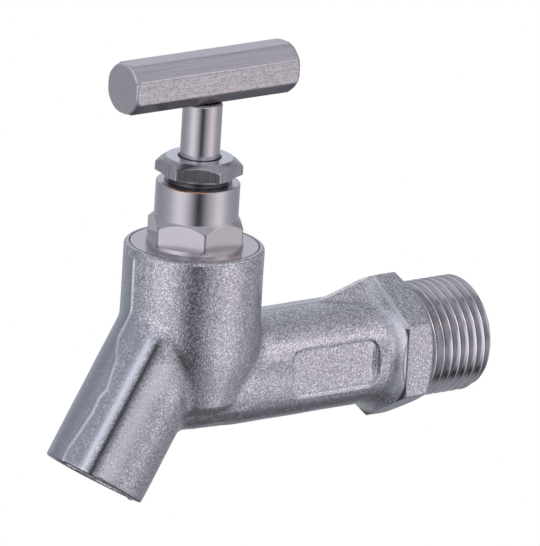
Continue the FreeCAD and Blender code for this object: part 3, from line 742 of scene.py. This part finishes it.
def skin_tones(points, normals, skin):
    """Where the casting is ground smooth, how much painted highlight and painted shade its lines take, and how far
    they stand out.
    """
    line = parting_line(points, normals) * skin
    fold, band = (mark * skin for mark in crease(points))
    strip_highlight, strip_shade = beyond_crease(points)
    edge_dark, edge_bright = hexagon_edge(points)
    slope, underside = hexagon_slope(points)
    panel_dark, panel_bright, panel_end = panel_edge(points)
    # The mouth's face takes painted shade; the bright marks are painted highlights and the dark ones painted shade
    mouth = (by_spout(points)[0] > SPOUT_MOUTH) & (points[:, 2] < 0)
    bright = [line * at_height(points, PARTING_HIGHLIGHT_SHARE, 1), BAND_HIGHLIGHT_SHARE * band, HIGHLIGHT_STRIP_SHARE * strip_highlight * skin, edge_bright,
              slope, PANEL_BRIGHT_SHARE * panel_bright, PANEL_END_SHARE * panel_end]
    dark = [fold, SHADE_LINE_SHARE * shade_line(points) * skin, SHADE_STRIP_SHARE * strip_shade, hollow_shade(points), edge_dark,
            UNDERSIDE_SHADE_SHARE * underside, PANEL_DARK_SHARE * panel_dark, MOUTH_SHADE_SHARE * mouth]
    marks = (ground_strip(points) * skin, np.maximum.reduce(bright), np.maximum.reduce(dark))
    return np.stack(marks, axis=1), PARTING_HEIGHT * line - CREASE_DEPTH * fold


def casting():
    """The cast body: the CAD solid with softened edges, its parting line and the unevenness of a casting."""
    cast = copied("tap_body", "cast_body_skin")
    remesh = cast.modifiers.new("remesh", "REMESH")
    remesh.mode = "VOXEL"
    remesh.voxel_size = VOXEL * 1
    soften = cast.modifiers.new("soften", "SMOOTH")
    soften.iterations = SOFTEN_ROUNDS
    applied(cast)
    cut(cast, (0, THREAD_CUT, 0), (0, 1, 0))
    cut(cast, (0, 0, RIM_CUT), (0, 0, 1))
    mesh = cast.data
    points = np.empty(len(mesh.vertices) * 3, np.float32)
    normals = np.empty(len(mesh.vertices) * 3, np.float32)
    mesh.vertices.foreach_get("co", points)
    mesh.vertices.foreach_get("normal", normals)
    points = points.reshape(-1, 3).astype(float)
    normals = normals.reshape(-1, 3).astype(float)
    skin = outside(points)
    below_rim = np.clip((RIM_CUT - points[:, 2]) / PARTING_FADE, 0, 1)
    marks, lift = skin_tones(points, normals, skin)
    for i in np.nonzero(skin)[0]:
        lift[i] += WAVE_HEIGHT * noise.noise(Vector(points[i] / WAVE_SIZE)) * below_rim[i]
    points = np.clip(points + normals * lift[:, None], cad_box[0], cad_box[1])
    mesh.vertices.foreach_set("co", points.astype(np.float32).ravel())
    mesh.update()
    keep_marks(mesh, marks)
    return cast


def keep_marks(mesh, marks):
    """Stores where a mesh is ground, and its painted highlights and painted shade, for the cast steel's tones."""
    layer = mesh.attributes.new("marks", "FLOAT_VECTOR", "POINT")
    layer.data.foreach_set("vector", marks.astype(np.float32).ravel())


def machined_rim():
    """The top of the barrel, left as the CAD solid has it."""
    rim = copied("tap_body", "rim")
    cut(rim, (0, 0, RIM_CUT), (0, 0, -1))
    keep_marks(rim.data, np.zeros((len(rim.data.vertices), 3)))
    return rim


def thread_radius(phase, along):
    """The radius of a 55 degree thread at a share of its pitch, less the chamfer at its end."""
    share = abs((phase + 0.5) % 1.0 - 0.5) * 2
    flank = min(1.0, max(0.0, (share - CREST_PART) / (1 - CREST_PART - ROOT_PART)))
    radius = THREAD_RADIUS - THREAD_DEPTH * flank
    chamfer = THREAD_RADIUS - max(0.0, along - (THREAD_LENGTH - THREAD_CHAMFER))
    return min(radius, chamfer)


def inlet_thread():
    """The right-hand thread on the inlet, with its rows laid along the helix, its end face and the bore. What would
    lie beyond the thread's ends is held at them and welded."""
    angles = [2 * math.pi * i / THREAD_SIDES for i in range(THREAD_SIDES + 1)]
    turns = int(THREAD_LENGTH / THREAD_PITCH) + 3
    first = 0.5 / THREAD_STEPS - THREAD_TURN - 2
    rows = []
    for j in range(-THREAD_STEPS, turns * THREAD_STEPS + 1):
        row = []
        for i, angle in enumerate(angles):
            along = THREAD_PITCH * (first + j / THREAD_STEPS + i / THREAD_SIDES)
            held = min(THREAD_LENGTH, max(0.0, along))
            radius = thread_radius(held / THREAD_PITCH - i / THREAD_SIDES + THREAD_TURN, held)
            row.append((radius * math.sin(angle), held, radius * math.cos(angle)))
        rows.append(row)
    for radius, along in ((BORE_RADIUS + BORE_CHAMFER, THREAD_LENGTH), (BORE_RADIUS, THREAD_LENGTH - BORE_CHAMFER),
                          (BORE_RADIUS, THREAD_CUT)):
        rows.append([(radius * math.sin(angle), along, radius * math.cos(angle)) for angle in angles])
    mesh = bpy.data.meshes.new("thread")
    with reshaped(mesh) as shape:
        grid = [[shape.verts.new(p) for p in row] for row in rows]
        for lower, upper in zip(grid, grid[1:]):
            for i in range(THREAD_SIDES):
                shape.faces.new((lower[i], upper[i], upper[i + 1], lower[i + 1]))
        bmesh.ops.remove_doubles(shape, verts=shape.verts, dist=THREAD_WELD)
        bmesh.ops.dissolve_degenerate(shape, edges=shape.edges, dist=THREAD_WELD)
    return new_object("thread", mesh)


def joined(name, pieces):
    """Several meshes as one object."""
    shape = bmesh.new()
    for piece in pieces:
        shape.from_mesh(piece.data)
        bpy.data.objects.remove(piece)
    mesh = bpy.data.meshes.new(name)
    shape.to_mesh(mesh)
    shape.free()
    return new_object(name, mesh)


def dress(piece, node, body, material, angle=MACHINED_ANGLE):
    """Gives a piece its material and shading, and puts it in the place of its CAD node."""
    piece.data.materials.clear()
    piece.data.materials.append(material)
    smooth(piece.data, angle)
    weighted = piece.modifiers.new("normals", "WEIGHTED_NORMAL")
    weighted.keep_sharp = True
    weighted.weight = 100
    applied(piece)
    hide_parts(node)
    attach(piece, body)


def edged(node, name, width=EDGE):
    """A copy of a CAD node with its sharp edges broken, but not where the tenon fills its hole in the bar's top."""
    piece = copied(node, name)
    with reshaped(piece.data) as shape:
        bmesh.ops.dissolve_limit(shape, angle_limit=math.radians(FLAT_ANGLE), verts=shape.verts, edges=shape.edges)
        weight = shape.edges.layers.float.new("bevel_weight_edge")
        for edge in shape.edges:
            sharp = edge.is_manifold and edge.calc_face_angle() > math.radians(MACHINED_ANGLE)
            on_tenon = all(v.co.z > BAR_TOP - TOP_MARGIN and abs(v.co.y - SPINDLE_Y) < TENON_REACH for v in edge.verts)
            edge[weight] = float(sharp and not on_tenon)
    bevel = piece.modifiers.new("edges", "BEVEL")
    bevel.width = width
    bevel.segments = 2
    bevel.limit_method = "WEIGHT"
    bevel.use_clamp_overlap = True
    return applied(piece)


def bar_handle():
    """The bar, with the corners of its ends taken back to a cone. Cuts across and along it add the cone's points."""
    bar = edged("tee_handle", "bar_handle")
    planes = [((0, SPINDLE_Y + side * (BAR_HALF - BAR_END_LENGTH), BAR_MIDDLE), (0, 1, 0)) for side in (-1, 1)]
    turns = [math.pi * i / BAR_SECTORS for i in range(BAR_SECTORS)]
    planes += [((0, SPINDLE_Y, BAR_MIDDLE), (math.cos(turn), 0, math.sin(turn))) for turn in turns]
    with reshaped(bar.data) as shape:
        for point, normal in planes:
            bmesh.ops.bisect_plane(shape, geom=everything(shape), plane_co=point, plane_no=normal)
        for vertex in shape.verts:
            reach = BAR_END_RADIUS + BAR_END_SLOPE * (BAR_HALF - abs(vertex.co.y - SPINDLE_Y))
            out = math.hypot(vertex.co.x, vertex.co.z - BAR_MIDDLE)
            if out > reach:
                vertex.co.x *= reach / out
                vertex.co.z = BAR_MIDDLE + (vertex.co.z - BAR_MIDDLE) * reach / out
    return bar


def floor():
    """A plain pale floor well below the tap, which hangs from a wall. It doesn't show in the metal."""
    square = [(x * FLOOR_REACH, y * FLOOR_REACH, FLOOR_HEIGHT) for x, y in ((-1, -1), (1, -1), (1, 1), (-1, 1))]
    mesh = bpy.data.meshes.new("floor")
    mesh.from_pydata(square, [], [(0, 1, 2, 3)])
    piece = new_object("floor", mesh)
    material, graph = new_material("pale_floor")
    matt = graph.add("BsdfDiffuse", Color=FLOOR_COLOUR)
    white = graph.add("Emission", Color=WHITE, Strength=1.0)
    graph.shown(graph.either(graph.add("LightPath").outputs["Is Camera Ray"], matt, white))
    mesh.materials.append(material)
    piece.visible_glossy = False
    piece.visible_diffuse = False
    piece.visible_shadow = False


def camera():
    """A camera at the photograph's viewing angle."""
    data = bpy.data.cameras.new("camera")
    data.sensor_width = SENSOR
    data.lens = FOCAL_PIXELS * SENSOR / IMAGE_HEIGHT
    data.clip_end = FARTHEST
    eye = new_object("camera", data)
    axes = Matrix((CAMERA_RIGHT, CAMERA_UP, CAMERA_BACK)).transposed()
    eye.matrix_world = Matrix.Translation(CAMERA_PLACE) @ axes.to_4x4()
    bpy.context.scene.camera = eye


def patch(graph, bearing, elevation, middle, size):
    """How near a direction is to the middle of a patch of the tent, from 0 to 1."""
    turn = graph.maths("WRAP", graph.maths("SUBTRACT", bearing, middle[0]), 180.0, -180.0)
    rise = graph.maths("SUBTRACT", elevation, middle[1])
    across = graph.maths("DIVIDE", turn, size[0])
    up = graph.maths("DIVIDE", rise, size[1])
    off = graph.maths("ADD", graph.maths("MULTIPLY", across, across), graph.maths("MULTIPLY", up, up))
    return graph.maths("EXPONENT", graph.maths("MULTIPLY", off, -1.0))


def studio():
    """A pale tent of soft light, with lit and dark patches. What the camera sees behind the tap is white."""
    world = bpy.data.worlds.new("studio")
    bpy.context.scene.world = world
    world.use_nodes = True
    graph = Graph(world.node_tree)
    way = graph.add("TexCoord").outputs["Generated"]
    parts = []
    for axis in (TOWARDS_CAMERA, RIGHT_OF_CAMERA):
        dot = graph.add("VectorMath", {"operation": "DOT_PRODUCT"})
        graph.put(dot.inputs[0], way)
        graph.put(dot.inputs[1], axis)
        parts.append(dot.outputs["Value"])
    bearing = graph.maths("DEGREES", graph.maths("ARCTAN2", parts[1], parts[0]))
    height = graph.add("SeparateXYZ", Vector=way).outputs[2]
    elevation = graph.maths("DEGREES", graph.maths("ARCSINE", height))
    risen = graph.maths("MULTIPLY_ADD", elevation, 1 / 180, 0.5)
    light = graph.ramp(risen, [((e + 90) / 180, tuple(v * t for t in TENT_TINT)) for e, v in TENT])
    for *middle, width, tall, colour in LIT:
        light = graph.blended("ADD", patch(graph, bearing, elevation, middle, (width, tall)), light, (*colour, 1))
    for *middle, width, tall, share in DARK:
        taken = graph.maths("MULTIPLY", patch(graph, bearing, elevation, middle, (width, tall)), share)
        light = graph.mixed_in(taken, light, (0, 0, 0))
    rays = graph.add("LightPath").outputs
    seen = graph.maths("MAXIMUM", rays["Is Camera Ray"], rays["Is Transmission Ray"])
    tent = graph.add("Background", Color=light, Strength=1.0)
    white = graph.add("Background", Color=WHITE, Strength=1.0)
    graph.shown(graph.either(seen, tent, white), "OutputWorld")


CAST = steel("cast_steel", (0.79, 0.775, 0.81), 0.25, blasted_marks, 0.018 * MM, 0.38, stops=(0.2, 0.75),
             cloudy=0.04, painted_light_and_colour=marked)
TURNED = steel("turned_steel", TURNED_COLOUR, 0.2, turned_marks, 0.0015 * MM, 0.88, painted_light_and_colour=tipped)
BONNET = steel("bonnet_steel", TURNED_COLOUR, 0.2, turned_marks, 0.0015 * MM, 0.88, painted_light_and_colour=bonnet_shade_and_copper)
INLET = steel("thread_steel", (0.66, 0.635, 0.655), 0.16, inlet_marks, 0.004 * MM, 0.6, painted_light_and_colour=crested)
NUT = steel("nut_steel", (0.525, 0.487, 0.507), 0.22, milled_marks, 0.006 * MM, 0.7, stops=(0.38, 0.62),
            painted_light_and_colour=shaded_nut)
BAR = steel("bar_steel", (0.557, 0.527, 0.55), 0.28, drawn_marks, 0.02 * MM, 0.66, stops=(0.36, 0.56), cloudy=0.1,
            painted_light_and_colour=shaded_bar)
SPRING = steel("spring_steel", (0.375, 0.375, 0.383), 0.3, plain_marks, 0.005 * MM)
PACKING = soft("packing", (0.88, 0.88, 0.86), 0.6, 1500.0, 0.02 * MM)
GASKET = soft("gasket", (0.8, 0.8, 0.78), 0.7, 2000.0, 0.02 * MM)
RUBBER = soft("washer", (0.05, 0.05, 0.055), 0.55, 2000.0, 0.02 * MM)

body = joined("cast_body", [casting(), machined_rim()])
dress(body, "tap_body", "tap", CAST, CAST_ANGLE)
thread = inlet_thread()
thread.data.materials.append(INLET)
smooth(thread.data, THREAD_ANGLE)
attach(thread, "tap")

dress(edged("bonnet", "bonnet_turned"), "bonnet", "tap", BONNET)
dress(edged("gland_nut", "gland_nut_milled", NUT_EDGE), "gland_nut", "tap", NUT)
dress(edged("spindle", "spindle_turned"), "spindle", "spindle", TURNED)
dress(bar_handle(), "tee_handle", "spindle", BAR)

LOOKS = {"cast_steel": CAST, "turned_steel": TURNED, "nut_steel": NUT, "bar_steel": BAR, "spring_steel": SPRING,
         "packing": PACKING, "gasket": GASKET, "washer": RUBBER}
for part in frame["record"]["subparts"]:
    node = frame["nodes"][part["node"]]
    for slot in node.material_slots:
        slot.material = LOOKS[part["material_slot"]]

floor()
camera()
studio()
bpy.context.scene.view_settings.view_transform = "Standard"
